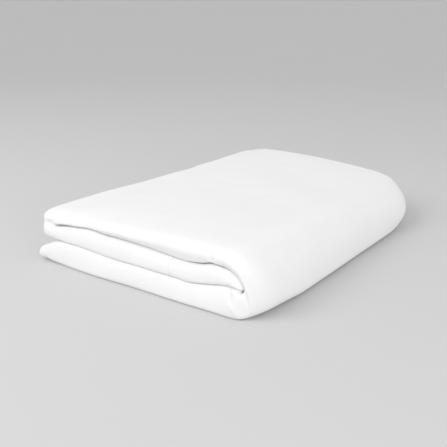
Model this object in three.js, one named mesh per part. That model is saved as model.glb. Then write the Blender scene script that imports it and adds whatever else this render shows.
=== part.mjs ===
// A filled mattress protector, folded into a flat pack. Millimetres.
//
// One panel of 1000 by 2000 mm is folded in half twice along its length, which makes a strip of four
// plies, 500 mm wide. The strip's closed folds lie at the visible end of the pack, its hemmed edges at
// the far end. The strip is then folded in three like a letter: the lower band runs to a broad spine,
// the upper band returns over it to a tight fold, and the middle band is tucked back in between them.
//
// X runs along the spine, from the visible end to the far end. Y runs across the pack, from the spine
// to the tight fold. Z is up. The origin is in the middle of the underside.

import * as THREE from "three";

const PACK_LENGTH = 500;
const PACK_WIDTH = 350;

const PLY = 5.5; // one thickness of the filled panel
const SLOT = 1.2; // air between the plies of the strip
const GAP = 1.4; // air between the bands of the letter fold
const PITCH = PLY + SLOT;
const BAND = 4 * PLY + 3 * SLOT;
const PACK_HEIGHT = 3 * BAND + 2 * GAP;

const SPINE_SIDE = -PACK_WIDTH / 2;
const FREE_SIDE = PACK_WIDTH / 2; // the lower band's hemmed end
const FOLD_SIDE = FREE_SIDE - 4; // the tight fold lies a little further in
const SPINE_FOOT = 26; // outer radius of the spine near the floor
const SPINE_SHOULDER = PACK_HEIGHT - SPINE_FOOT; // and its outer radius above that
const SPINE_PRESS = 0.72; // how far the plies are pressed where they are pulled round the spine
const PRESS_RUN = 60; // the pressing fades out over this length on both sides of the spine
const TIGHT_RADIUS = BAND + GAP / 2;
const TUCK_DEPTH = 24; // how far the middle band reaches into the spine's shoulder

const END_LENGTH = 32; // both ends of the strip thin out over this length
const END_PRESS = 0.3; // to this share of the thickness
const FREE_END_LIFT = 0.25; // share of the free end's thinning that is taken from its underside

const FOLD_SQUARENESS = 0.6; // 0 leaves the tight fold round, 1 makes it a flat wall
const SHOULDER_DROP = 16; // the top slopes down by this much towards the visible end
const SHOULDER_REACH = 48; // starting this far in
const CORNER_RADIUS = { near: 40, right: 90, back: 50 }; // seen from above

// The plies turn back round these places along X, and between them every ply is divided alike.
const VISIBLE_TURN = -PACK_LENGTH / 2 + 1.5 * PITCH + PLY / 2;
const FAR_TURN = PACK_LENGTH / 2 - 0.5 * PITCH - PLY / 2;
const HEMMED_EDGE = PACK_LENGTH / 2;
const PLY_STATIONS = [VISIBLE_TURN, -214, -180, -20, 150, 200, 228, FAR_TURN, HEMMED_EDGE];

// Heights of the gap under the middle band, the gap over it and the top, at places across the pack.
const VISIBLE_END_HEIGHTS = [
  { across: -175, lowerGap: 30, upperGap: 52, top: 80 },
  { across: -105, lowerGap: 30, upperGap: 54, top: 80 },
  { across: -35, lowerGap: 27, upperGap: 54, top: 80 },
  { across: 50, lowerGap: 28, upperGap: 55, top: 79 },
  { across: 115, lowerGap: 30, upperGap: 58, top: 78 },
  { across: 175, lowerGap: 28, upperGap: 54, top: 76 },
];
const FAR_END_HEIGHTS = [
  { across: -175, lowerGap: 22, upperGap: 42, top: 58 },
  { across: 0, lowerGap: 25, upperGap: 48, top: 69 },
  { across: 175, lowerGap: 26, upperGap: 51, top: 73 },
];

const { lerp, clamp, smoothstep, inverseLerp } = THREE.MathUtils;

const evenly = (count) => Array.from({ length: count + 1 }, (_, i) => i / count);
const closerToStart = (count) => evenly(count).map((share) => share ** 2);
const closerToEnd = (count) => evenly(count).map((share) => 1 - (1 - share) ** 2);

// A straight line cut at the given shares of its length. Each station is a place in a plane with the
// direction of travel there.
function straight(from, to, shares) {
  const heading = Math.atan2(to[1] - from[1], to[0] - from[0]);
  return shares.map((share) => ({
    u: lerp(from[0], to[0], share),
    v: lerp(from[1], to[1], share),
    heading,
    share,
  }));
}

// An arc round a centre, from one angle to another, cut into equal steps.
function bend(centre, radius, start, end, steps) {
  const quarterTurn = (Math.sign(end - start) * Math.PI) / 2;
  return evenly(steps).map((share) => {
    const angle = lerp(start, end, share);
    return {
      u: centre[0] + radius * Math.cos(angle),
      v: centre[1] + radius * Math.sin(angle),
      heading: angle + quarterTurn,
      share,
    };
  });
}

// The middle line of the strip's four plies, in the plane of X and the height w above the strip's
// middle: from one hemmed edge along the outer ply, round the closed fold at the visible end, back
// along the inner ply, round the turn at the far end, and through the two plies between them.
function plyMiddleLine() {
  const ply = (fromX, toX, w) => {
    const forwards = fromX < toX;
    const along = PLY_STATIONS.filter((x) => x <= (forwards ? toX : fromX));
    const shares = along.map((x) => inverseLerp(fromX, toX, x));
    return straight([fromX, w], [toX, w], forwards ? shares : shares.reverse());
  };
  const turn = (x, w, radius, start, end, steps) => bend([x, w], radius, start, end, steps).slice(1, -1);
  const { PI } = Math;
  return [
    ...ply(HEMMED_EDGE, VISIBLE_TURN, -1.5 * PITCH),
    ...turn(VISIBLE_TURN, 0, 1.5 * PITCH, -PI / 2, -1.5 * PI, 8),
    ...ply(VISIBLE_TURN, FAR_TURN, 1.5 * PITCH),
    ...turn(FAR_TURN, PITCH, 0.5 * PITCH, PI / 2, -PI / 2, 6),
    ...ply(FAR_TURN, VISIBLE_TURN, 0.5 * PITCH),
    ...turn(VISIBLE_TURN, 0, 0.5 * PITCH, PI / 2, 1.5 * PI, 6),
    ...ply(VISIBLE_TURN, HEMMED_EDGE, -0.5 * PITCH),
  ];
}

// The strip's section as one closed outline: half a ply to the left of the middle line, then back
// along the right of it.
function stripOutline() {
  const offset = (side) => ({ u, v, heading }) => ({
    x: u - side * Math.sin(heading) * (PLY / 2),
    w: v + side * Math.cos(heading) * (PLY / 2),
  });
  const middle = plyMiddleLine();
  return [...middle.map(offset(1)), ...middle.map(offset(-1)).reverse()];
}

// The strip's outer face along the letter fold, in the plane of Y and Z, from the free end to the
// tucked end. thickness is the share of the band's thickness at a station, and lift is how much of
// what is lost there is taken from the outer face.
function letterFold() {
  const footEnd = SPINE_SIDE + SPINE_FOOT;
  const shoulderEnd = SPINE_SIDE + SPINE_SHOULDER;
  const foldStart = FOLD_SIDE - TIGHT_RADIUS;
  const tuckEnd = shoulderEnd - TUCK_DEPTH;
  const middleTop = PACK_HEIGHT - 2 * TIGHT_RADIUS;
  const { PI } = Math;

  const pressed = (stations, from, to, lift = 0) =>
    stations.map((s) => ({ ...s, lift, thickness: lerp(from, to, smoothstep(s.share, 0, 1)) }));
  const thinned = (stations, endY, lift) =>
    stations.map((s) => {
      const inwards = clamp(Math.abs(s.u - endY) / END_LENGTH, 0, 1);
      const roundness = Math.sqrt(1 - (1 - inwards) ** 2);
      return { ...s, lift, thickness: lerp(END_PRESS, 1, roundness) };
    });

  const lowerBand = straight([FREE_SIDE, 0], [footEnd + PRESS_RUN, 0], closerToStart(8));
  const toSpine = straight([footEnd + PRESS_RUN, 0], [footEnd, 0], evenly(3));
  const foot = bend([footEnd, SPINE_FOOT], SPINE_FOOT, -PI / 2, -PI, 4);
  const shoulder = bend([shoulderEnd, SPINE_FOOT], SPINE_SHOULDER, PI, PI / 2, 6);
  const fromSpine = straight([shoulderEnd, PACK_HEIGHT], [shoulderEnd + PRESS_RUN, PACK_HEIGHT], evenly(3));
  const upperBand = straight([shoulderEnd + PRESS_RUN, PACK_HEIGHT], [foldStart, PACK_HEIGHT], evenly(6));
  const tightFold = bend([foldStart, PACK_HEIGHT - TIGHT_RADIUS], TIGHT_RADIUS, PI / 2, -PI / 2, 8);
  const middleBand = straight([foldStart, middleTop], [tuckEnd, middleTop], closerToEnd(8));
  return [
    ...thinned(lowerBand, FREE_SIDE, FREE_END_LIFT).slice(0, -1),
    ...pressed(toSpine, 1, SPINE_PRESS).slice(0, -1),
    ...pressed(foot, SPINE_PRESS, SPINE_PRESS).slice(0, -1),
    ...pressed(shoulder, SPINE_PRESS, SPINE_PRESS).slice(0, -1),
    ...pressed(fromSpine, SPINE_PRESS, 1).slice(0, -1),
    ...pressed(upperBand, 1, 1).slice(0, -1),
    ...pressed(tightFold, 1, 1).slice(0, -1),
    ...thinned(middleBand, tuckEnd, 0),
  ];
}

// A point of the section set on the fold at a station: the band grows from its outer face towards the
// inside of the bends, which is to the right of the direction of travel.
function placeOnFold(station, { x, w }) {
  const lost = BAND * (1 - station.thickness) * station.lift;
  const depth = (w + BAND / 2) * station.thickness + lost;
  const y = station.u + Math.sin(station.heading) * depth;
  const z = station.v - Math.cos(station.heading) * depth;
  return new THREE.Vector3(x, y, z);
}

// Heights at one end of the pack, running smoothly from one row of its table to the next.
function heightsAt(rows, y) {
  const last = rows.length - 2;
  const next = rows.findIndex((row) => row.across >= y);
  const index = next < 0 ? last : clamp(next - 1, 0, last);
  const [a, b] = [rows[index], rows[index + 1]];
  const share = smoothstep(y, a.across, b.across);
  return ["lowerGap", "upperGap", "top"].map((name) => lerp(a[name], b[name], share));
}

// The tight fold is pinched: its round wall moves out towards a flat one.
function pinchTightFold(point) {
  const start = FOLD_SIDE - TIGHT_RADIUS;
  if (point.z < BAND + GAP / 2 || point.y < start) return;
  const height = clamp((point.z - (PACK_HEIGHT - TIGHT_RADIUS)) / TIGHT_RADIUS, -1, 1);
  point.y = start + (point.y - start) / Math.sqrt(1 - FOLD_SQUARENESS * height ** 2);
}

// The three bands take the heights of the two tables, and the top slopes down to the visible end.
function settleBands(point) {
  const along = smoothstep(point.x, -PACK_LENGTH / 2, PACK_LENGTH / 2);
  const visible = heightsAt(VISIBLE_END_HEIGHTS, point.y);
  const far = heightsAt(FAR_END_HEIGHTS, point.y);
  const [lowerGap, upperGap, top] = visible.map((height, i) => lerp(height, far[i], along));
  const evenLower = BAND + GAP / 2;
  const evenUpper = 2 * BAND + 1.5 * GAP;
  const levels = [
    [0, 0],
    [evenLower, lowerGap],
    [evenUpper, upperGap],
    [PACK_HEIGHT, top],
  ];
  const level = point.z < evenLower ? 0 : point.z < evenUpper ? 1 : 2;
  const [[z0, to0], [z1, to1]] = [levels[level], levels[level + 1]];
  point.z = lerp(to0, to1, inverseLerp(z0, z1, point.z));

  const inwards = clamp((point.x + PACK_LENGTH / 2) / SHOULDER_REACH, 0, 1);
  const slope = 1 - Math.sqrt(1 - (1 - inwards) ** 2);
  const inTopBand = clamp(inverseLerp(upperGap, top, point.z), 0, 1);
  point.z -= SHOULDER_DROP * slope * inTopBand;
}

// A square corner of the pack's plan drawn in to a round one. sideX and sideY say which corner it is.
function roundCorner(point, sideX, sideY, radius) {
  const centreX = PACK_LENGTH / 2 - radius;
  const centreY = PACK_WIDTH / 2 - radius;
  const p = (sideX * point.x - centreX) / radius;
  const q = (sideY * point.y - centreY) / radius;
  if (p <= 0 || q <= 0) return;
  point.x = sideX * (centreX + radius * p * Math.sqrt(1 - q ** 2 / 2));
  point.y = sideY * (centreY + radius * q * Math.sqrt(1 - p ** 2 / 2));
}

function settle(point) {
  pinchTightFold(point);
  settleBands(point);
  roundCorner(point, 1, -1, CORNER_RADIUS.right);
  roundCorner(point, 1, 1, CORNER_RADIUS.back);
  roundCorner(point, -1, -1, CORNER_RADIUS.near);
  return point;
}

// The strip's outline carried along the letter fold, closed at both ends.
function foldedPanelGeometry() {
  const outline = stripOutline();
  const stations = letterFold();
  const points = stations.flatMap((station) => outline.map((place) => settle(placeOnFold(station, place))));
  const count = outline.length;
  const index = [];

  for (let s = 0; s < stations.length - 1; s += 1) {
    for (let i = 0; i < count; i += 1) {
      const next = (i + 1) % count;
      const [a, b] = [s * count + i, s * count + next];
      const [c, d] = [b + count, a + count];
      // Faces on the two sides of a slot are cut along the same diagonal, so that they stay apart.
      if (outline[next].x < outline[i].x) index.push(a, c, b, a, d, c);
      else index.push(a, d, b, b, d, c);
    }
  }

  const freeEnd = 0;
  const tuckedEnd = (stations.length - 1) * count;
  for (let i = 0; i < count / 2 - 1; i += 1) {
    const [left, leftNext] = [i, i + 1];
    const [right, rightNext] = [count - 1 - i, count - 2 - i];
    const cap = [left, leftNext, right, leftNext, rightNext, right];
    index.push(...cap.map((corner) => corner + freeEnd));
    index.push(...cap.reverse().map((corner) => corner + tuckedEnd));
  }

  const geometry = new THREE.BufferGeometry().setFromPoints(points);
  geometry.setIndex(index);
  geometry.computeVertexNormals();
  return geometry;
}

// Undyed white cloth.
const whiteCloth = new THREE.MeshStandardMaterial({ color: 0xf1f0ee, roughness: 0.9, metalness: 0 });

const panel = new THREE.Mesh(foldedPanelGeometry(), whiteCloth);
panel.name = "protector_panel";

const protector = new THREE.Group();
protector.name = "folded_mattress_protector";
protector.add(panel);

export default protector;
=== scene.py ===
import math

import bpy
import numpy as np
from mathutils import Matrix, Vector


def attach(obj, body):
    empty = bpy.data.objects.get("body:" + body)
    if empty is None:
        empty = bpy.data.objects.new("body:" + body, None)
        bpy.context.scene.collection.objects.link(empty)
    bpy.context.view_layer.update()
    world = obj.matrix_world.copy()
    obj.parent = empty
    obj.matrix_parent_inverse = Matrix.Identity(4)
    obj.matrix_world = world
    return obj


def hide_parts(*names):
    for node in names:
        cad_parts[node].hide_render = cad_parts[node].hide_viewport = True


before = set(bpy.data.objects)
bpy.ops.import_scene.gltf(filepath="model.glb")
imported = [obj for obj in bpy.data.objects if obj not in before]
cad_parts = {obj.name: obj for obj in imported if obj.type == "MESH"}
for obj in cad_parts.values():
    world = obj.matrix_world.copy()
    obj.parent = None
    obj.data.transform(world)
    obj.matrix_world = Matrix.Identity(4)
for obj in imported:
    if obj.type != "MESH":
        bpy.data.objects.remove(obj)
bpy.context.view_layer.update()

# A filled mattress protector folded into a flat pack, white, on a pale studio floor.
#
# The panel's shape is worked out in millimetres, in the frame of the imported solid, and goes into its
# mesh in metres. X runs along the spine, from the visible end to the hemmed end. Y runs across the
# pack, from the spine to the tight fold. Z is up.

MILLIMETRE = 0.001

# The pack, with the sizes of its solid
PACK_LENGTH = 500.0
PACK_WIDTH = 350.0
BAND = 25.6  # the strip of four plies
GAP = 1.4  # between the bands of the letter fold
PACK_HEIGHT = 3 * BAND + 2 * GAP
SLOT = 0.7  # between the plies of the strip
PLY = (BAND - 3 * SLOT) / 4
PITCH = PLY + SLOT
VISIBLE_END = -PACK_LENGTH / 2
HEMMED_END = PACK_LENGTH / 2
SPINE_SIDE = -PACK_WIDTH / 2
FREE_SIDE = PACK_WIDTH / 2
FOLD_SIDE = FREE_SIDE - 8
SPINE_FOOT = 26.0
SPINE_SHOULDER = PACK_HEIGHT - SPINE_FOOT
TIGHT_RADIUS = BAND + GAP / 2
TUCK_DEPTH = 34.6
PANEL_FLAT = (2.0, 1.0)  # the flat panel's length and width, in metres
# The plan's round corners: radius, and how much larger it is at the floor
NEAR_CORNER = (39.0, 11.0)
RIGHT_CORNER = (87.0, 36.0)
BACK_CORNER = (50.0, 0.0)
CORNER_SPREAD = 50.0  # the height below which a corner's radius grows

# How far the plies are pressed, as shares of a full band
SPINE_PRESS = 0.72
SHOULDER_PRESS = 0.92
FOLD_PRESS = 0.93
FREE_END_LIFT = 0.18  # share of the thickness lost there that is taken off the underside
PRESS_RUN = 60.0  # the press changes over this, along each straight band
# Thickness towards the free end and the tucked end: distance from the edge, share of a full band
FREE_END = [(0, 0.17), (3, 0.37), (12, 0.57), (23, 0.73), (37, 0.89), (52, 1.0)]
TUCKED_END = [(0, 0.36), (2, 0.47), (5.4, 0.67), (10.4, 0.85), (16, 0.96), (22, 1.0)]

# The hem along all four edges of the panel
HEM_ROUND = 2.4  # the edge rounds off over this
HEM_STITCH = 12.0  # how far in its stitches run
HEM_NIP = 0.14  # how much they draw the cloth in
HEM_NIP_WIDTH = 3.0
HEM_THINNEST = 0.04
HEM_THICKNESS = 0.72
HEM_FILL_RUN = 16.0  # the filling swells to a full ply over this
# Distances from a hemmed edge at which it is cut, close together where it bends
HEM_STEPS = [0, 0.4, 1.2, 2.4, 4.2, 6.5, 9.0, 10.6, 12.0, 13.4, 15.2, 18.0, 22.0, 27.0, 33.0]

# The folds of the visible end, and how square they and the other round folds are
VISIBLE_TURN = VISIBLE_END + 1.5 * PITCH + PLY / 2
FAR_TURN = HEMMED_END - 0.5 * PITCH - PLY / 2
FINE_RUN = 70.0  # the plies are cut closer together over this, up to those folds
NOSE_SQUARENESS = 0.94
NOSE_CROWN = 0.13  # how much the flat wall still bulges, as a share of its reach
TOP_NOSE_SQUARENESS = 0.45  # in the upper half of the top band
FOLD_SQUARENESS = 0.97
FOOT_SQUARENESS = 0.85

# The tight fold's wall at the visible end: height, and how far it stands out from its side
FOLD_WALL = [(36, 1.5), (43, -2.0), (49, -4.0), (56, -5.5), (63, -5.0), (67, -3.0), (74, -1.0)]
# The same side along the pack: place along, and how far the whole side stands out
FOLD_SIDE_LINE = [
    (-250, 0.0),
    (-160, -4.0),
    (-94, -7.0),
    (-41, -9.5),
    (12, -11.0),
    (39, -13.0),
    (81, -8.5),
    (120, -11.0),
    (151, -9.5),
    (200, -6.0),
    (250, -1.0),
]

# Heights at the visible end and at the far end: place across the pack, lower gap, upper gap, top
VISIBLE_END_HEIGHTS = [
    (-175, 34.0, 53.0, 80.0),
    (-152, 35.6, 53.5, 80.0),
    (-140, 36.8, 54.8, 80.0),
    (-125, 36.6, 56.6, 80.0),
    (-110, 33.5, 57.2, 80.0),
    (-96, 31.0, 53.2, 80.0),
    (-80, 28.8, 50.8, 80.0),
    (-62, 29.8, 50.3, 80.0),
    (-40, 29.8, 51.9, 80.0),
    (0, 30.5, 55.0, 79.5),
    (35, 30.5, 56.9, 79.0),
    (54, 31.8, 57.4, 78.5),
    (75, 33.0, 60.5, 78.0),
    (100, 34.5, 59.3, 77.0),
    (120, 34.2, 58.0, 75.6),
    (140, 36.0, 54.5, 74.2),
    (175, 37.0, 53.0, 73.0),
]
FAR_END_HEIGHTS = [
    (-175, 21.0, 38.0, 51.0),
    (-60, 25.0, 47.0, 67.5),
    (60, 26.5, 51.0, 76.0),
    (120, 27.0, 52.0, 76.5),
    (175, 27.0, 52.0, 74.0),
]

# Air between the bands at the visible end: place across the pack, lower gap, upper gap
VISIBLE_END_GAPS = [
    (-175, 0.3, 0.3),
    (-145, 0.5, 0.3),
    (-119, 0.3, 0.3),
    (120, 0.3, 0.3),
    (135, 0.5, 0.4),
    (155, 0.8, 0.4),
]
INNER_GAP = 0.3
GAP_REACH = 6.0  # the gaps close to the inner one over this length

# The top band's visible end: place across the pack, how far its top slopes down and over what run,
# and how far its underside is drawn in
TOP_END = [
    (-175, 7.0, 34, 0.0),
    (-146, 6.0, 36, 0.0),
    (-125, 6.0, 40, 0.6),
    (-110, 7.0, 46, 2.4),
    (-90, 7.5, 54, 5.6),
    (-60, 8.0, 62, 7.6),
    (-20, 9.0, 70, 8.0),
    (20, 9.5, 70, 7.4),
    (50, 10.0, 66, 7.0),
    (72, 10.5, 58, 5.0),
    (88, 11.0, 50, 2.8),
    (110, 11.0, 42, 0.8),
    (126, 11.0, 36, 0.0),
    (136, 11.0, 34, 0.0),
    (175, 11.0, 34, 0.0),
]
# The line of the visible end: place across the pack, and how far it is drawn in
END_LINE = [
    (-175, 1.0),
    (-140, 3.2),
    (-100, 3.6),
    (-60, 3.0),
    (-20, 1.8),
    (30, 0.4),
    (80, -0.9),
    (175, -1.2),
]

# Creases on the visible end, as rows of place across, height, half width and depth
END_CREASES = [
    [(-116, 63, 4, 0), (-126, 60.5, 5, 2.0), (-136, 56, 5, 3.0), (-143, 50, 5, 3.5),
     (-148, 44, 4.5, 4.0), (-152, 38, 4, 4.0), (-155, 31, 3.5, 4.0), (-156.5, 22, 3, 3.0),
     (-157, 10, 3, 2.0)],
    [(-134.5, 38, 3.2, 1.5), (-135.5, 33, 3.6, 4.2), (-137, 26, 3.2, 4.2), (-138.5, 19, 2.8, 2.4),
     (-140, 12, 2.6, 0)],
    [(-111, 78, 3, 0), (-111.5, 72, 3, 2.2), (-112, 65, 3, 2.6)],
    [(136, 58, 5, 0), (143, 57, 5, 3.0), (150, 56, 5, 4.5), (156, 55, 5, 2.0), (161, 54, 5, 0)],
    [(131, 76, 3, 0), (129, 71, 3, 1.8), (126, 65, 3, 1.4), (126, 60, 3, 0)],
    [(100, 77, 3, 0), (97, 74, 3, 1.2), (93, 71, 3, 0)],
]
# Ridges on the visible end, with the depth below nought
END_RIDGES = [
    [(-133, 27, 2.8, 0), (-136.5, 21, 2.8, -1.8), (-140, 15, 2.8, -2.4), (-143, 10, 2.8, -2.0),
     (-146, 5, 2.8, -1)],
    [(-128, 72, 4, 0), (-142, 66, 4, -1.2), (-152, 56, 4, -1.8), (-158, 37, 3.5, -2.0),
     (-160, 24, 3.5, -2.4), (-160, 10, 3.5, -2.2)],
    [(122, 72, 3, 0), (119, 69, 3, -1.8), (114, 69, 3, 0)],
    [(112, 77, 4, 0), (106, 76, 4, -1.2), (98, 77, 4, 0)],
]
# Creases and ridges on the top, as rows of place along, place across, half width and depth
TOP_CREASES = [
    [(4, 100, 7, 0), (-2, 77, 6, 1.0), (-7, 54, 6, 1.5), (0, 34, 6, 1.5), (-5, 12, 6, 1.2),
     (-17, -10, 7, 0)],
    [(-15, -38, 4, 0), (-13, -52, 4, 1.4), (-17, -67, 4, 1.2), (-22, -80, 4, 0)],
    [(-41, -54, 4, 0), (-38, -67, 4, 1.6), (-40, -78, 4, 1.8), (-50, -93, 4, 1.0), (-58, -106, 5, 0)],
    [(88, -62, 4, 0), (78, -78, 4, 1.2), (66, -90, 4, 1.0), (60, -100, 4, 0)],
    [(30, 150, 5, 0), (32, 132, 5, 1.8), (20, 113, 5, 1.0), (9, 104, 5, 0)],
    [(-28, 150, 5, 0), (-34, 128, 5, 1.8), (-50, 110, 5, 1.0), (-60, 100, 5, 0)],
    [(-112, 148, 5, 0), (-103, 130, 5, 1.4), (-96, 116, 5, 0)],
    [(136, 140, 6, 0), (147, 99, 6, 1.0), (165, 59, 6, 1.0), (176, 20, 6, 0.9), (191, -40, 6, 0)],
]
TOP_RIDGES = [
    [(-26, -44, 4, 0), (-26, -60, 4, -1.2), (-30, -75, 4, -1.0), (-36, -90, 4, 0)],
]
CREASE_REACH = 60.0  # the creases on the visible end fade out over this


# Curves and smooth steps


def ease(share):
    """A smooth step from 0 to 1: three times the square less twice the cube of the share."""
    share = np.clip(share, 0.0, 1.0)
    return share * share * (3 - 2 * share)


def rise(place, start, run):
    """A smooth step from 0 to 1 that begins at one place and takes a run."""
    return ease((place - start) / run)


def quarter_round(share):
    """The height of a quarter circle, from 0 at its foot to 1 one radius in."""
    return np.sqrt(1 - (1 - np.clip(share, 0.0, 1.0)) ** 2)


def blend(low, high, share):
    """The value at a share of the way from low to high."""
    return low + (high - low) * share


def columns_at(rows, place):
    """Each further column of a table at the places, on a cubic through its rows.

    Between two rows it is the Hermite cubic, whose slope at a row is that of the line from the row
    before to the row after.
    """
    table = np.array(rows, float)
    stops, values = table[:, 0], table[:, 1:]
    slopes = np.gradient(values, stops, axis=0)
    place = np.clip(place, stops[0], stops[-1])
    before = np.clip(np.searchsorted(stops, place) - 1, 0, len(stops) - 2)
    run = stops[before + 1] - stops[before]
    t = ((place - stops[before]) / run)[..., None]
    run = run[..., None]
    columns = (
        (2 * t**3 - 3 * t**2 + 1) * values[before]
        + (t**3 - 2 * t**2 + t) * run * slopes[before]
        + (3 * t**2 - 2 * t**3) * values[before + 1]
        + (t**3 - t**2) * run * slopes[before + 1]
    )
    return np.moveaxis(columns, -1, 0)


def line_depth(rows, across, up):
    """Depth of a soft trough that follows a line of places.

    Each row gives a place, a half width and a depth, which change evenly from row to row. Away from the
    line the depth is multiplied by the exponential of minus the square of distance over half width.
    """
    table = np.array(rows, float)
    nearest = np.full(np.shape(across), np.inf)
    depth = np.zeros(np.shape(across))
    for start, end in zip(table[:-1], table[1:]):
        run = end[:2] - start[:2]
        share = ((across - start[0]) * run[0] + (up - start[1]) * run[1]) / (run @ run)
        share = np.clip(share, 0.0, 1.0)
        away = np.hypot(across - start[0] - run[0] * share, up - start[1] - run[1] * share)
        away = away / blend(start[2], end[2], share)
        here = blend(start[3], end[3], share) * np.exp(-(away**2))
        depth = np.where(away < nearest, here, depth)
        nearest = np.minimum(nearest, away)
    return depth


def swell(a, b, wavelength, seed):
    """Soft unevenness between about -1 and 1: five sine waves in seeded directions, added."""
    draw = np.random.default_rng(seed)
    total = np.zeros(np.shape(a))
    for _ in range(5):
        angle, phase = draw.uniform(0, 2 * math.pi, 2)
        length = wavelength * draw.uniform(0.7, 1.4)
        along = a * math.cos(angle) + b * math.sin(angle)
        total += np.sin(2 * math.pi * along / length + phase)
    return total / 2.5


# The strip's section


def straight(start, end, shares):
    """Places at shares of a straight line, as rows of place, place and heading."""
    start, end = np.array(start, float), np.array(end, float)
    shares = np.asarray(shares, float)[:, None]
    heading = math.atan2(end[1] - start[1], end[0] - start[0])
    places = start + (end - start) * shares
    return np.column_stack([places, np.full(len(places), heading)])


def bend(centre, radius, start, end, steps):
    """Places in even steps on an arc round a centre, as rows of place, place and heading."""
    angles = np.linspace(start, end, steps + 1)
    quarter_turn = math.copysign(math.pi / 2, end - start)
    places = [centre[0] + radius * np.cos(angles), centre[1] + radius * np.sin(angles)]
    return np.column_stack([*places, angles + quarter_turn])


def hem_steps(full):
    """Distances from a hemmed edge at which a ply is cut: all, or only some on a hidden ply."""
    steps = HEM_STEPS if full else HEM_STEPS[0:3:2] + HEM_STEPS[3:14:3] + HEM_STEPS[14:]
    return np.array(steps, float)


def lengthwise_stations(full):
    """Places along X at which a ply is cut: its hem, its middle, and closer towards the visible end.

    A hidden ply keeps only some of them.
    """
    kept_when_hidden = [2, 5, 9, 17, 25, 32]
    fine_start = VISIBLE_TURN + FINE_RUN
    hem = HEMMED_END - hem_steps(full)
    middle = np.linspace(HEMMED_END - HEM_STEPS[-1], fine_start, 34)[1:]
    middle = middle if full else middle[kept_when_hidden]
    end = np.linspace(fine_start, VISIBLE_TURN, 21 if full else 5)[1:]
    return np.unique(np.concatenate([hem, [FAR_TURN], middle, end]))[::-1]


def ply_line(start, end, height, full):
    """The middle line of one ply at a height above the strip's middle."""
    stations = lengthwise_stations(full)
    low, high = sorted((start, end))
    margin = 1e-6
    stations = stations[(stations >= low - margin) & (stations <= high + margin)]
    if start < end:
        stations = stations[::-1]
    return straight((start, height), (end, height), (stations - start) / (end - start))


def strip_section():
    """The middle line of the strip's four plies, as rows of X, height, heading and length so far.

    It runs from one hemmed edge along the outermost ply, round the outer fold at the visible end, back
    along the innermost ply, round the turn at the far end, along the ply next to that one, round the
    inner fold at the visible end, and along the last ply to the other hemmed edge.
    """
    inner, outer = 0.5 * PITCH, 1.5 * PITCH
    quarter = math.pi / 2
    pieces = [
        ply_line(HEMMED_END, VISIBLE_TURN, -outer, True),
        bend((VISIBLE_TURN, 0), outer, -quarter, -3 * quarter, 18)[1:-1],
        ply_line(VISIBLE_TURN, FAR_TURN, outer, False),
        bend((FAR_TURN, PITCH), inner, quarter, -quarter, 8)[1:-1],
        ply_line(FAR_TURN, VISIBLE_TURN, inner, False),
        bend((VISIBLE_TURN, 0), inner, quarter, 3 * quarter, 8)[1:-1],
        ply_line(VISIBLE_TURN, HEMMED_END, -inner, False),
    ]
    line = np.concatenate(pieces)
    steps = np.hypot(*np.diff(line[:, :2], axis=0).T)
    return np.column_stack([line, np.concatenate([[0], np.cumsum(steps)])])


def hem_fullness(distance):
    """Thickness of a ply near a hemmed edge, as a share of a full ply.

    It rounds off at the edge, is nipped along the stitches, and swells to full behind them.
    """
    edge = quarter_round(distance / HEM_ROUND)
    nip = HEM_NIP * np.exp(-(((distance - HEM_STITCH) / HEM_NIP_WIDTH) ** 2))
    swelling = blend(HEM_THICKNESS, 1.0, rise(distance, HEM_STITCH, HEM_FILL_RUN))
    return np.maximum(edge * (swelling - nip), HEM_THINNEST)


# The letter fold


def pressed(places, start, end):
    """Places whose thickness eases from one share of a full band to another."""
    share = np.linspace(0, 1, len(places))
    return np.column_stack([places, blend(start, end, ease(share)), np.zeros(len(places))])


def thinned(places, thickness, lift):
    """Places with a thickness each, and one share of what is lost that is taken off the outer face."""
    return np.column_stack([places, thickness, np.full(len(places), lift)])


def level_run(start, end, height, count):
    """Evenly spaced places on a straight stretch of the letter fold at one height."""
    return straight((start, height), (end, height), np.linspace(0, 1, count))


def hemmed_run(edge, end, height, count):
    """Places on a straight stretch from a hemmed edge: the hem's steps, then evenly spaced ones."""
    steps = hem_steps(True)
    length = abs(end - edge)
    shares = np.concatenate([steps, np.linspace(steps[-1], length, count)[1:]]) / length
    return straight((edge, height), (end, height), shares)


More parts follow.
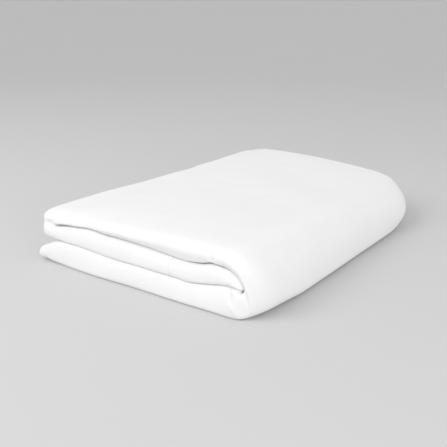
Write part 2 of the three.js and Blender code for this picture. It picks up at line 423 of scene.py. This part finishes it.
def letter_fold():
    """The strip's outer face along the letter fold, from its free end to its tucked end.

    The rows are Y, Z, heading, thickness as a share of a full band, and the share of what is lost there
    that is taken off the outer face.
    """
    quarter = math.pi / 2
    foot_end = SPINE_SIDE + SPINE_FOOT
    shoulder_end = SPINE_SIDE + SPINE_SHOULDER
    fold_start = FOLD_SIDE - TIGHT_RADIUS
    tuck_end = shoulder_end - TUCK_DEPTH
    top_z = PACK_HEIGHT
    fold_z = PACK_HEIGHT - TIGHT_RADIUS
    middle_z = PACK_HEIGHT - 2 * TIGHT_RADIUS

    lower_band = hemmed_run(FREE_SIDE, foot_end + PRESS_RUN, 0, 32)
    to_spine = level_run(foot_end + PRESS_RUN, foot_end, 0, 37)
    foot = bend((foot_end, SPINE_FOOT), SPINE_FOOT, -quarter, -2 * quarter, 16)
    shoulder = bend((shoulder_end, SPINE_FOOT), SPINE_SHOULDER, 2 * quarter, quarter, 34)
    from_spine = level_run(shoulder_end, shoulder_end + PRESS_RUN, top_z, 23)
    upper_band = level_run(shoulder_end + PRESS_RUN, fold_start - PRESS_RUN, top_z, 44)
    to_fold = level_run(fold_start - PRESS_RUN, fold_start, top_z, 19)
    tight_fold = bend((fold_start, fold_z), TIGHT_RADIUS, quarter, -quarter, 30)
    from_fold = level_run(fold_start, fold_start - PRESS_RUN, middle_z, 19)
    middle_band = hemmed_run(tuck_end, fold_start - PRESS_RUN, middle_z, 34)[::-1]
    middle_band[:, 2] = 2 * quarter

    free_thickness = columns_at(FREE_END, FREE_SIDE - lower_band[:, 0])[0]
    tucked_thickness = columns_at(TUCKED_END, middle_band[:, 0] - tuck_end)[0]
    pieces = [
        thinned(lower_band, free_thickness, FREE_END_LIFT),
        pressed(to_spine, 1.0, 1.0),
        pressed(foot, 1.0, SPINE_PRESS),
        pressed(shoulder, SPINE_PRESS, SHOULDER_PRESS),
        pressed(from_spine, SHOULDER_PRESS, 1.0),
        pressed(upper_band, 1.0, 1.0),
        pressed(to_fold, 1.0, FOLD_PRESS),
        pressed(tight_fold, FOLD_PRESS, FOLD_PRESS),
        pressed(from_fold, FOLD_PRESS, 1.0),
        thinned(middle_band, tucked_thickness, 0.0),
    ]
    return np.concatenate([piece[:-1] for piece in pieces[:-1]] + pieces[-1:])


def folded_strip():
    """Grids of X, Y, Z and the two lengths on the flat panel, for the folded strip before it settles.

    A row of the grids is one station of the letter fold, a column one place of the section. A place
    lies half a ply to one side of the section's middle line, first along one side and then back along
    the other. Its height above the strip's outer face is carried inwards from the fold's line.
    """
    section = strip_section()
    fold = letter_fold()
    x, height, heading, length = section.T
    side = np.concatenate([np.ones(len(x)), -np.ones(len(x))])
    there_and_back = np.concatenate([np.arange(len(x)), np.arange(len(x))[::-1]])
    x, height, heading, length = (values[there_and_back] for values in (x, height, heading, length))

    y, z, turn, thickness, lift = fold.T
    steps = np.hypot(*np.diff(fold[:, :2], axis=0).T)
    width = np.concatenate([[0], np.cumsum(steps)])
    to_long_hem = np.minimum(width, width[-1] - width)[:, None]
    to_short_hem = np.minimum(length, length.max() - length)[None, :]
    half_ply = side * PLY / 2 * hem_fullness(to_long_hem) * hem_fullness(to_short_hem)

    place_x = x - np.sin(heading) * half_ply
    depth = height + BAND / 2 + np.cos(heading) * half_ply
    depth = depth * thickness[:, None] + (BAND * (1 - thickness) * lift)[:, None]
    place_y = y[:, None] + np.sin(turn)[:, None] * depth
    place_z = z[:, None] - np.cos(turn)[:, None] * depth
    flat = np.broadcast_arrays(width[:, None], length[None, :])
    return place_x, place_y, place_z, *flat


# How the folded strip settles


def squared(reach, height, squareness):
    """A round bulge's reach moved out towards a flat wall.

    It is divided by the root of 1 less the squareness times the square of the height, which runs from
    -1 to 1 over the bulge.
    """
    return reach / np.sqrt(1 - squareness * height**2)


def square_the_nose(x, y, z, height):
    """The round closed folds at the visible end, squared, less so in the upper half of the top band.

    The wall keeps a crown: its reach is first multiplied by 1 less the crown's share times the square
    of the height in the band.
    """
    upper_half = 2.5 * BAND + 2 * GAP
    round_until, fading_run = 95, 35
    in_upper_half = (z > upper_half) * (1 - rise(y, round_until, fading_run))
    squareness = blend(NOSE_SQUARENESS, TOP_NOSE_SQUARENESS, in_upper_half)
    height = np.clip(height / (BAND / 2), -1, 1)
    reach = np.minimum(x - VISIBLE_TURN, 0) * (1 - NOSE_CROWN * height**2)
    return np.where(x < VISIBLE_TURN, VISIBLE_TURN + squared(reach, height, squareness), x)


def square_the_tight_fold(y, z):
    """The tight fold's round wall, squared."""
    start = FOLD_SIDE - TIGHT_RADIUS
    height = np.clip((z - (PACK_HEIGHT - TIGHT_RADIUS)) / TIGHT_RADIUS, -1, 1)
    wall = start + squared(y - start, height, FOLD_SQUARENESS)
    return np.where((z > BAND + GAP / 2) & (y > start), wall, y)


def square_the_foot(x, y, z):
    """The spine's round foot, squared, but not near its ends."""
    start = SPINE_SIDE + SPINE_FOOT
    height = np.clip((SPINE_FOOT - z) / SPINE_FOOT, 0, 1)
    begins, growing_run, ends, fading_run = -245, 110, 120, 120
    squareness = FOOT_SQUARENESS * rise(x, begins, growing_run) * (1 - rise(x, ends, fading_run))
    return np.where(y < start, start + squared(y - start, height, squareness), y)


def settle_the_bands(x, y, z):
    """The heights brought to those of the tables, and their shares of the top band.

    Heights run in straight steps from the floor by the two gaps to the top, where the levels of the
    steps ease from the visible end's to the far end's. Round the spine they run smoothly instead: the
    top's height times the share s, with each gap's shift from its even third added as a soft wave,
    3.2 s (1 - s) squared for the lower one and 3.2 s squared (1 - s) for the upper one.
    """
    along = rise(x, VISIBLE_END, PACK_LENGTH)
    levels = blend(columns_at(VISIBLE_END_HEIGHTS, y), columns_at(FAR_END_HEIGHTS, y), along)
    lower, upper, top = levels
    inwards = quarter_round((x - VISIBLE_END) / GAP_REACH)
    lower_air, upper_air = blend(columns_at(VISIBLE_END_GAPS, y), INNER_GAP, inwards) / 2
    even = [0.0, BAND, BAND + GAP, 2 * BAND + GAP, 2 * BAND + 2 * GAP, PACK_HEIGHT]
    settled = [
        0 * lower,
        lower - lower_air,
        lower + lower_air,
        upper - upper_air,
        upper + upper_air,
        top,
    ]
    stepped = np.zeros(np.shape(z))
    last = len(even) - 2
    for k in range(last + 1):
        share = (z - even[k]) / (even[k + 1] - even[k])
        inside = (share >= 0 if k > 0 else True) & (share <= 1 if k < last else True)
        stepped = np.where(inside, blend(settled[k], settled[k + 1], share), stepped)

    wave = 3.2
    share = z / PACK_HEIGHT
    lower_wave = (lower / top - 1 / 3) * wave * share * (1 - share) ** 2
    upper_wave = (upper / top - 2 / 3) * wave * share**2 * (1 - share)
    smooth = top * (share + lower_wave + upper_wave)
    spine_wall, leaving_run = 4, 14
    at_spine = 1 - rise(y, SPINE_SIDE + spine_wall, leaving_run)
    result = blend(stepped, smooth, at_spine)
    return result, np.clip((result - upper) / (top - upper), 0, 1)


def shape_the_top_end(x, y, in_top_band):
    """How far the top band's visible end moves inwards and upwards.

    Its top slopes down to the end in a quarter circle, less so for places lower in the band. Its
    underside is drawn in, less so for places higher in the band or further in.
    """
    drawn_share, drawn_run = 0.9, 40
    drop, run, undercut = columns_at(TOP_END, y)
    sloped = drop * (1 - quarter_round((x - VISIBLE_END) / run)) * in_top_band
    drawn = np.maximum(undercut, 0) * (1 - ease(in_top_band / drawn_share))
    drawn = drawn * (1 - rise(x, VISIBLE_END, drawn_run)) * (in_top_band > 0)
    return drawn, -sloped


def shape_the_fold_side(x, y, z):
    """How far the tight fold's side stands out: its wall at the visible end, and its line along X."""
    wall_depth, wall_run = 22, 120
    line_begins, line_run = 50, 110
    wall = columns_at(FOLD_WALL, z)[0] * (z > FOLD_WALL[0][0])
    wall = wall * rise(y, FOLD_SIDE - wall_depth, wall_depth) * (1 - rise(x, VISIBLE_END, wall_run))
    return wall + columns_at(FOLD_SIDE_LINE, x)[0] * rise(y, line_begins, line_run)


def round_corner(x, y, z, side_x, side_y, corner):
    """A square corner of the plan drawn in to a round one.

    Each distance past the corner's centre is multiplied by the root of 1 less half the other's square.
    The radius grows towards the floor with the square of the depth below the height where that begins.
    """
    upper_radius, growth = corner
    radius = upper_radius + growth * np.clip(1 - z / CORNER_SPREAD, 0, 1) ** 2
    centre_x, centre_y = PACK_LENGTH / 2 - radius, PACK_WIDTH / 2 - radius
    furthest = 1.1
    past_x = np.clip((side_x * x - centre_x) / radius, 0, furthest)
    past_y = np.clip((side_y * y - centre_y) / radius, 0, furthest)
    beyond = (past_x > 0) & (past_y > 0)
    round_x = side_x * (centre_x + radius * past_x * np.sqrt(1 - past_y**2 / 2))
    round_y = side_y * (centre_y + radius * past_y * np.sqrt(1 - past_x**2 / 2))
    return np.where(beyond, round_x, x), np.where(beyond, round_y, y)


def crease_the_cloth(x, y, z, in_top_band):
    """The creases and the soft unevenness, each fading out with the distance behind its own face."""
    inwards = sum(line_depth(rows, y, z) for rows in END_CREASES + END_RIDGES)
    inwards = inwards + columns_at(END_LINE, y)[0] + 0.5 * swell(y, 2 * z, 90, 11)
    downwards = sum(line_depth(rows, x, y) for rows in TOP_CREASES + TOP_RIDGES)
    downwards = downwards + 0.7 * swell(x, y, 170, 5) + 0.15 * swell(x, y, 45, 6)
    sideways = 0.8 * swell(x, 2 * z, 150, 8)

    spine_reach, above_floor = 70, 12
    at_visible_end = 1 - rise(x, VISIBLE_END, CREASE_REACH)
    at_spine = (1 - rise(y, SPINE_SIDE, spine_reach)) * ease(z / above_floor)
    at_top = in_top_band**6
    return x + inwards * at_visible_end, y + sideways * at_spine, z - downwards * at_top


def section_heights():
    """Height above the strip's middle at each place of the section, on both sides of its line."""
    _, height, heading, _ = strip_section().T
    half_ply = np.cos(heading) * PLY / 2
    return np.concatenate([height + half_ply, (height - half_ply)[::-1]])


def settled_panel():
    """The finished grids of the folded panel, in millimetres, and the two lengths on the flat panel."""
    x, y, z, width, length = folded_strip()
    section_height = np.broadcast_to(section_heights(), x.shape)
    x = square_the_nose(x, y, z, section_height)
    y = square_the_tight_fold(y, z)
    y = square_the_foot(x, y, z)
    z, in_top_band = settle_the_bands(x, y, z)
    inwards, upwards = shape_the_top_end(x, y, in_top_band)
    x, z = x + inwards, z + upwards
    y = y + shape_the_fold_side(x, y, z)
    x, y = round_corner(x, y, z, 1, -1, RIGHT_CORNER)
    x, y = round_corner(x, y, z, 1, 1, BACK_CORNER)
    x, y = round_corner(x, y, z, -1, -1, NEAR_CORNER)
    x, y, z = crease_the_cloth(x, y, z, in_top_band)
    return x, y, z, width, length


# Meshes


def mesh_object(name, points, faces, uv=None):
    """A smooth mesh object from points in metres, faces of point numbers and a UV place per point."""
    mesh = bpy.data.meshes.new(name)
    mesh.from_pydata(points, [], faces)
    if uv is not None:
        corners = np.empty(len(mesh.loops), np.int32)
        mesh.loops.foreach_get("vertex_index", corners)
        layer = mesh.uv_layers.new(name="cloth")
        layer.data.foreach_set("uv", uv[corners].ravel())
    mesh.polygons.foreach_set("use_smooth", np.ones(len(mesh.polygons), bool))
    mesh.update()
    piece = bpy.data.objects.new(name, mesh)
    bpy.context.scene.collection.objects.link(piece)
    return piece


def grid_faces(rows, columns):
    """Four-cornered faces of a grid that closes on itself along its columns."""
    row, column = np.meshgrid(np.arange(rows - 1), np.arange(columns), indexing="ij")
    following = (column + 1) % columns
    here, above = row * columns, (row + 1) * columns
    corners = [here + column, above + column, above + following, here + following]
    return np.stack(corners, -1).reshape(-1, 4)


def end_faces(first, columns, turned):
    """Faces that close one end of the strip, between the two sides of its plies."""
    step = np.arange(columns // 2 - 1)
    left = first + step
    right = first + columns - 1 - step
    corners = [left, left + 1, right - 1, right]
    return np.stack(corners[::-1] if turned else corners, -1)


def make_panel():
    """The folded panel: the section's outline carried along the letter fold, closed at both ends."""
    x, y, z, width, length = settled_panel()
    rows, columns = x.shape
    points = np.stack([x, y, z], -1).reshape(-1, 3) * MILLIMETRE
    faces = np.concatenate([
        grid_faces(rows, columns),
        end_faces(0, columns, False),
        end_faces((rows - 1) * columns, columns, True),
    ])
    uv = np.stack([length, width], -1).reshape(-1, 2) * MILLIMETRE
    return mesh_object("folded_panel", points, faces.tolist(), uv)


# Materials


class Signal:
    """A socket whose values can be used in sums: each operator adds the Math node that works it out."""

    def __init__(self, material, socket):
        self.material = material
        self.socket = socket

    def math(self, operation, other=None, swapped=False):
        values = [self] if other is None else [self, other]
        if swapped:
            values.reverse()
        return self.material.node("ShaderNodeMath", {"operation": operation}, values)[0]

    def __add__(self, other):
        return self.math("ADD", other)

    def __sub__(self, other):
        return self.math("SUBTRACT", other)

    def __rsub__(self, other):
        return self.math("SUBTRACT", other, swapped=True)

    def __mul__(self, other):
        return self.math("MULTIPLY", other)

    def __truediv__(self, other):
        return self.math("DIVIDE", other)

    def __lt__(self, other):
        return self.math("LESS_THAN", other)

    def sine(self):
        return self.math("SINE")

    def size(self):
        return self.math("ABSOLUTE")

    def fraction(self):
        return self.math("FRACT")

    def smaller(self, other):
        return self.math("MINIMUM", other)


class Material:
    """A material under construction, whose nodes are all added by one method."""

    def __init__(self, name):
        self.data = bpy.data.materials.new(name)
        self.data.use_nodes = True
        self.nodes = self.data.node_tree.nodes
        self.links = self.data.node_tree.links
        self.nodes.clear()

    def node(self, kind, settings=None, values=()):
        """Adds a node: first its settings, then the values or links of its sockets, by number or name.

        It gives back the node's outputs as signals.
        """
        node = self.nodes.new(kind)
        for name, setting in (settings or {}).items():
            setattr(node, name, setting)
        pairs = values.items() if isinstance(values, dict) else enumerate(values)
        for key, value in pairs:
            if isinstance(value, Signal):
                self.links.new(value.socket, node.inputs[key])
            else:
                node.inputs[key].default_value = value
        return [Signal(self, socket) for socket in node.outputs]

    def noise(self, vector, scale, detail):
        """Noise between 0 and 1 with so many lumps to the metre."""
        values = {"Vector": vector, "Scale": scale, "Detail": detail}
        return self.node("ShaderNodeTexNoise", {}, values)[0]

    def tint(self, share, low, high):
        """A colour at a share of the way from low to high."""
        factor, first, second, mixed = 0, 6, 7, 2
        values = {factor: share, first: (*low, 1), second: (*high, 1)}
        return self.node("ShaderNodeMix", {"data_type": "RGBA"}, values)[mixed]

    def bump(self, height, distance, strength, normal=None):
        """The normal that a height gives, on top of another normal."""
        values = {"Height": height, "Distance": distance, "Strength": strength}
        if normal is not None:
            values["Normal"] = normal
        return self.node("ShaderNodeBump", {}, values)[0]

    def finish(self, values):
        """The one shader of the material, and its output."""
        shader = self.node("ShaderNodeBsdfPrincipled", {}, values)[0]
        self.node("ShaderNodeOutputMaterial", {}, {"Surface": shader})
        return self.data


def object_place(material):
    """The place on the object itself, in metres."""
    object_output = 3
    return material.node("ShaderNodeTexCoord")[object_output]


def hem_stitches(cloth, length, width):
    """1 on the stitches: dashes on a line at one distance from the panel's nearest edge."""
    stitch_length, stitch_share, thread_width = 0.0035, 0.72, 0.00045
    flat_length, flat_width = PANEL_FLAT
    to_short_edge = length.smaller(flat_length - length)
    to_long_edge = width.smaller(flat_width - width)
    from_line = (to_short_edge.smaller(to_long_edge) - HEM_STITCH * MILLIMETRE).size()
    dash = ((length + width) / stitch_length).fraction() < stitch_share
    return (from_line < thread_width) * dash


def plain_weave(length, width, wander, thread_pitch):
    """The product of two sine waves along the threads, which wander a little."""
    to_turns = 2 * math.pi / thread_pitch
    return ((length + wander) * to_turns).sine() * ((width + wander) * to_turns).sine()


def white_cloth():
    """Soft white brushed cloth: a fine plain weave under a short nap, with the hem's stitches."""
    thread_pitch = 0.0006
    cloth = Material("white_cloth")
    flat_place = cloth.node("ShaderNodeUVMap", {"uv_map": "cloth"})[0]
    place = object_place(cloth)
    length, width, _ = cloth.node("ShaderNodeSeparateXYZ", {}, [flat_place])

    wander = cloth.noise(place, 45, 2) * (6 * thread_pitch)
    weave = plain_weave(length, width, wander, thread_pitch)
    nap = cloth.noise(place, 900, 3)
    lumps = cloth.noise(place, 70, 2)
    mottle = cloth.noise(place, 25, 3)
    stitches = hem_stitches(cloth, length, width)

    normal = cloth.bump(lumps, distance=0.0012, strength=0.35)
    normal = cloth.bump(nap, distance=0.0003, strength=0.30, normal=normal)
    normal = cloth.bump(weave, distance=0.0001, strength=0.25, normal=normal)
    normal = cloth.bump(stitches, distance=0.0005, strength=0.8, normal=normal)
    colour = cloth.tint(mottle * 0.6 + nap * 0.4, (0.885, 0.883, 0.880), (0.925, 0.924, 0.922))
    return cloth.finish({
        "Base Color": colour,
        "Roughness": 0.95,
        "Specular IOR Level": 0.15,
        "Sheen Weight": 0.12,
        "Sheen Roughness": 0.6,
        "Normal": normal,
    })


def floor_paint():
    """Matt pale studio floor."""
    paint = Material("studio_floor")
    mottle = paint.noise(object_place(paint), 3, 2)
    colour = paint.tint(mottle, (0.650, 0.650, 0.650), (0.665, 0.665, 0.665))
    return paint.finish({"Base Color": colour, "Roughness": 0.85, "Specular IOR Level": 0.2})


# The studio


def make_floor():
    """A round floor whose rim curves up: a profile of radius and height carried round the Z axis."""
    middle, flat, rim, height = 0.02, 2.6, 5.2, 1.6
    turns = 96
    angles = np.linspace(0, math.pi / 2, 13)
    radius = np.concatenate([[middle, 0.5, 1.4], flat + (rim - flat) * np.sin(angles)])
    level = np.concatenate([[0.0, 0.0, 0.0], height * (1 - np.cos(angles))])
    around = np.arange(turns) * 2 * math.pi / turns
    points = np.stack([
        radius[:, None] * np.cos(around),
        radius[:, None] * np.sin(around),
        np.broadcast_to(level[:, None], (len(radius), turns)),
    ], -1).reshape(-1, 3)
    faces = [list(face) for face in grid_faces(len(radius), turns)]
    faces.append(list(range(turns)))
    floor = mesh_object("studio_floor", points, faces)
    floor.data.materials.append(floor_paint())
    return floor


def make_camera():
    """The photograph's view: place, heading, tilt and focal length fitted to the pack's outline."""
    place = Vector((-0.7388, -0.4881, 0.3100))
    heading, tilt = math.radians(36.02), math.radians(18.27)
    picture_pixels, focal_pixels = 447, 621.6
    data = bpy.data.cameras.new("camera")
    data.sensor_width = 36.0
    data.lens = data.sensor_width * focal_pixels / picture_pixels
    data.clip_end = 50
    camera = bpy.data.objects.new("camera", data)
    camera.location = place
    camera.rotation_euler = (math.pi / 2 - tilt, 0, heading - math.pi / 2)
    bpy.context.scene.collection.objects.link(camera)
    bpy.context.scene.camera = camera


def make_lamp(name, place, target, size, power):
    """A square soft light at a place, turned to its target."""
    data = bpy.data.lights.new(name, "AREA")
    data.shape = "SQUARE"
    data.size = size
    data.energy = power
    lamp = bpy.data.objects.new(name, data)
    lamp.location = place
    towards = Vector(target) - Vector(place)
    lamp.rotation_euler = towards.to_track_quat("-Z", "Y").to_euler()
    bpy.context.scene.collection.objects.link(lamp)


def light_the_studio():
    """An even pale surrounding, a large soft light from the left and a smaller, low one in front."""
    world = bpy.data.worlds.new("studio")
    world.use_nodes = True
    background = world.node_tree.nodes["Background"]
    background.inputs["Color"].default_value = (1, 1, 1, 1)
    background.inputs["Strength"].default_value = 0.77
    bpy.context.scene.world = world
    middle = (0, 0, 0.04)
    make_lamp("key", (-1.7, 0.8, 1.5), middle, size=1.4, power=20.0)
    make_lamp("front", (-1.1, -1.7, 0.35), middle, size=0.7, power=10.6)
    view = bpy.context.scene.view_settings
    view.view_transform = "Standard"
    view.look = "None"


# The whole scene

make_camera()
light_the_studio()
floor = make_floor()
panel = make_panel()
panel.data.materials.append(white_cloth())
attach(panel, "root")
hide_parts("protector_panel")
